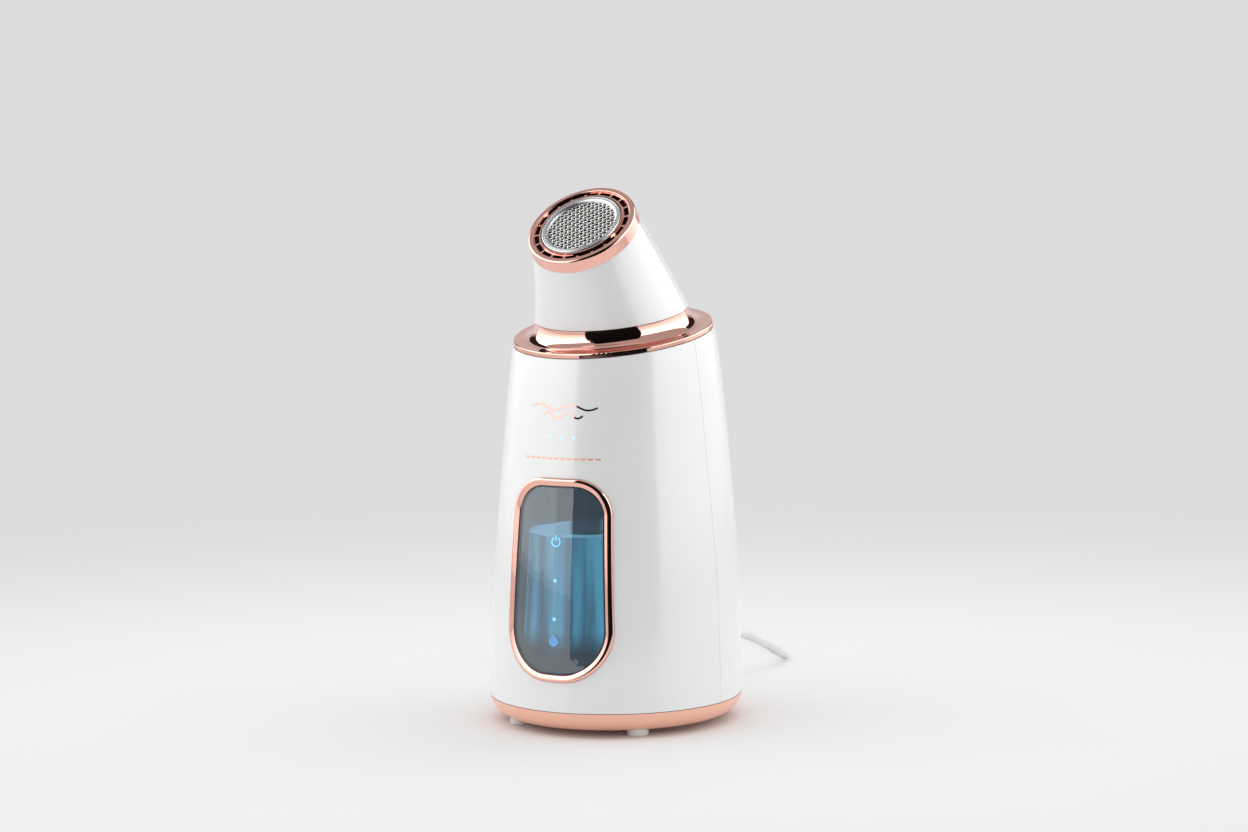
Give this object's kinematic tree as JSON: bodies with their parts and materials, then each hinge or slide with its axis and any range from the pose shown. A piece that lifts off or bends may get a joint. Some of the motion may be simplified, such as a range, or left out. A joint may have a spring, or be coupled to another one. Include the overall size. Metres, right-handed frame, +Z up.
{
  "type": "facial steamer",
  "caption": "Desktop facial steamer: leaning round white housing with a tinted water window, lift-off trumpet collar and a tilted swivelling steam head with a mesh outlet.",
  "frame": {"origin": "on the table under the middle of the round base", "axes": "+Z up, -Y towards the user (window and nozzle face -Y), the mains lead leaves towards +Y"},
  "size_m": [0.2008, 0.3046, 0.2628],
  "materials": {
    "white_shell": "gloss white ABS",
    "rose_gold": "rose gold mirror plating",
    "rose_satin": "satin rose metallic paint on plastic",
    "foot_rubber": "soft white",
    "clear_plastic": "clear moulded",
    "window_tint": "blue-grey tinted, polished",
    "touch_film": "clear sensor film",
    "light_pipe": "frosted",
    "inner_plastic": "moulded, fine grain",
    "lid_plastic": "moulded, satin",
    "steel": "drawn",
    "satin_chrome": "satin",
    "silicone": "translucent white",
    "heater_metal": "cast",
    "piezo": "silvered ceramic",
    "circuit_board": "solder mask green",
    "components": "moulded black",
    "felt": "pressed felt",
    "lead_white": "white flexible PVC",
    "pin_metal": "nickel plated"
  },
  "bodies": {
    "housing": {"base_tray": "rose_satin", "foot_pads": "foot_rubber", "base_screws": "steel", "front_shell": "white_shell", "rear_shell": "white_shell", "status_leds": "light_pipe", "window_bezel": "rose_gold", "window_pane": "window_tint", "touch_film": "touch_film", "led_board": "circuit_board", "rim_ring": "lid_plastic", "chassis_plate": "inner_plastic", "water_tank": "clear_plastic", "steam_riser": "clear_plastic", "riser_seal": "silicone", "inlet_filter": "silicone", "boiler_cup": "steel", "heater_plate": "heater_metal", "thermal_cutoffs": "components", "piezo_holder": "inner_plastic", "piezo_disc": "piezo", "piezo_seal": "silicone", "float_stem": "lid_plastic", "power_board": "circuit_board", "board_screws": "steel", "transformer": "components", "capacitors": "components", "control_board": "circuit_board", "control_chips": "components", "ion_module": "components", "strain_relief": "lead_white", "power_cord": "lead_white", "cord_coil": "lead_white", "plug_lead": "lead_white", "plug_body": "lead_white", "plug_pins": "pin_metal"},
    "float": {"level_float": "lid_plastic"},
    "lid": {"collar_ring": "rose_gold", "lid_carrier": "lid_plastic", "lid_plate": "lid_plastic", "lid_gasket": "silicone", "duct_seal": "silicone", "swivel_bush": "lid_plastic", "swivel_clip": "steel"},
    "head": {"head_shell": "white_shell", "head_base": "lid_plastic", "head_ring": "rose_gold", "slot_backing": "inner_plastic", "nozzle_duct": "inner_plastic", "ionizer_pin": "steel"},
    "cap": {"mesh_frame": "satin_chrome", "mesh_screen": "steel", "aroma_basket": "inner_plastic", "aroma_pad": "felt"}
  },
  "joints": [
    {"name": "lid_lift", "type": "slide", "parent": "housing", "child": "lid", "axis": [0, -0.184, 0.9829], "range_m": [0, 0.06]},
    {"name": "head_swivel", "type": "hinge", "parent": "lid", "child": "head", "pos_m": [0, 0.0019, 0.1932], "axis": [0, -0.184, 0.9829], "range_deg": [-60, 60]},
    {"name": "mesh_cap_lift", "type": "slide", "parent": "head", "child": "cap", "axis": [0, -0.6401, 0.7683], "range_m": [0, 0.02]},
    {"name": "float_slide", "type": "slide", "parent": "housing", "child": "float", "axis": [0, 0, 1], "range_m": [-0.016, 0]}
  ]
}
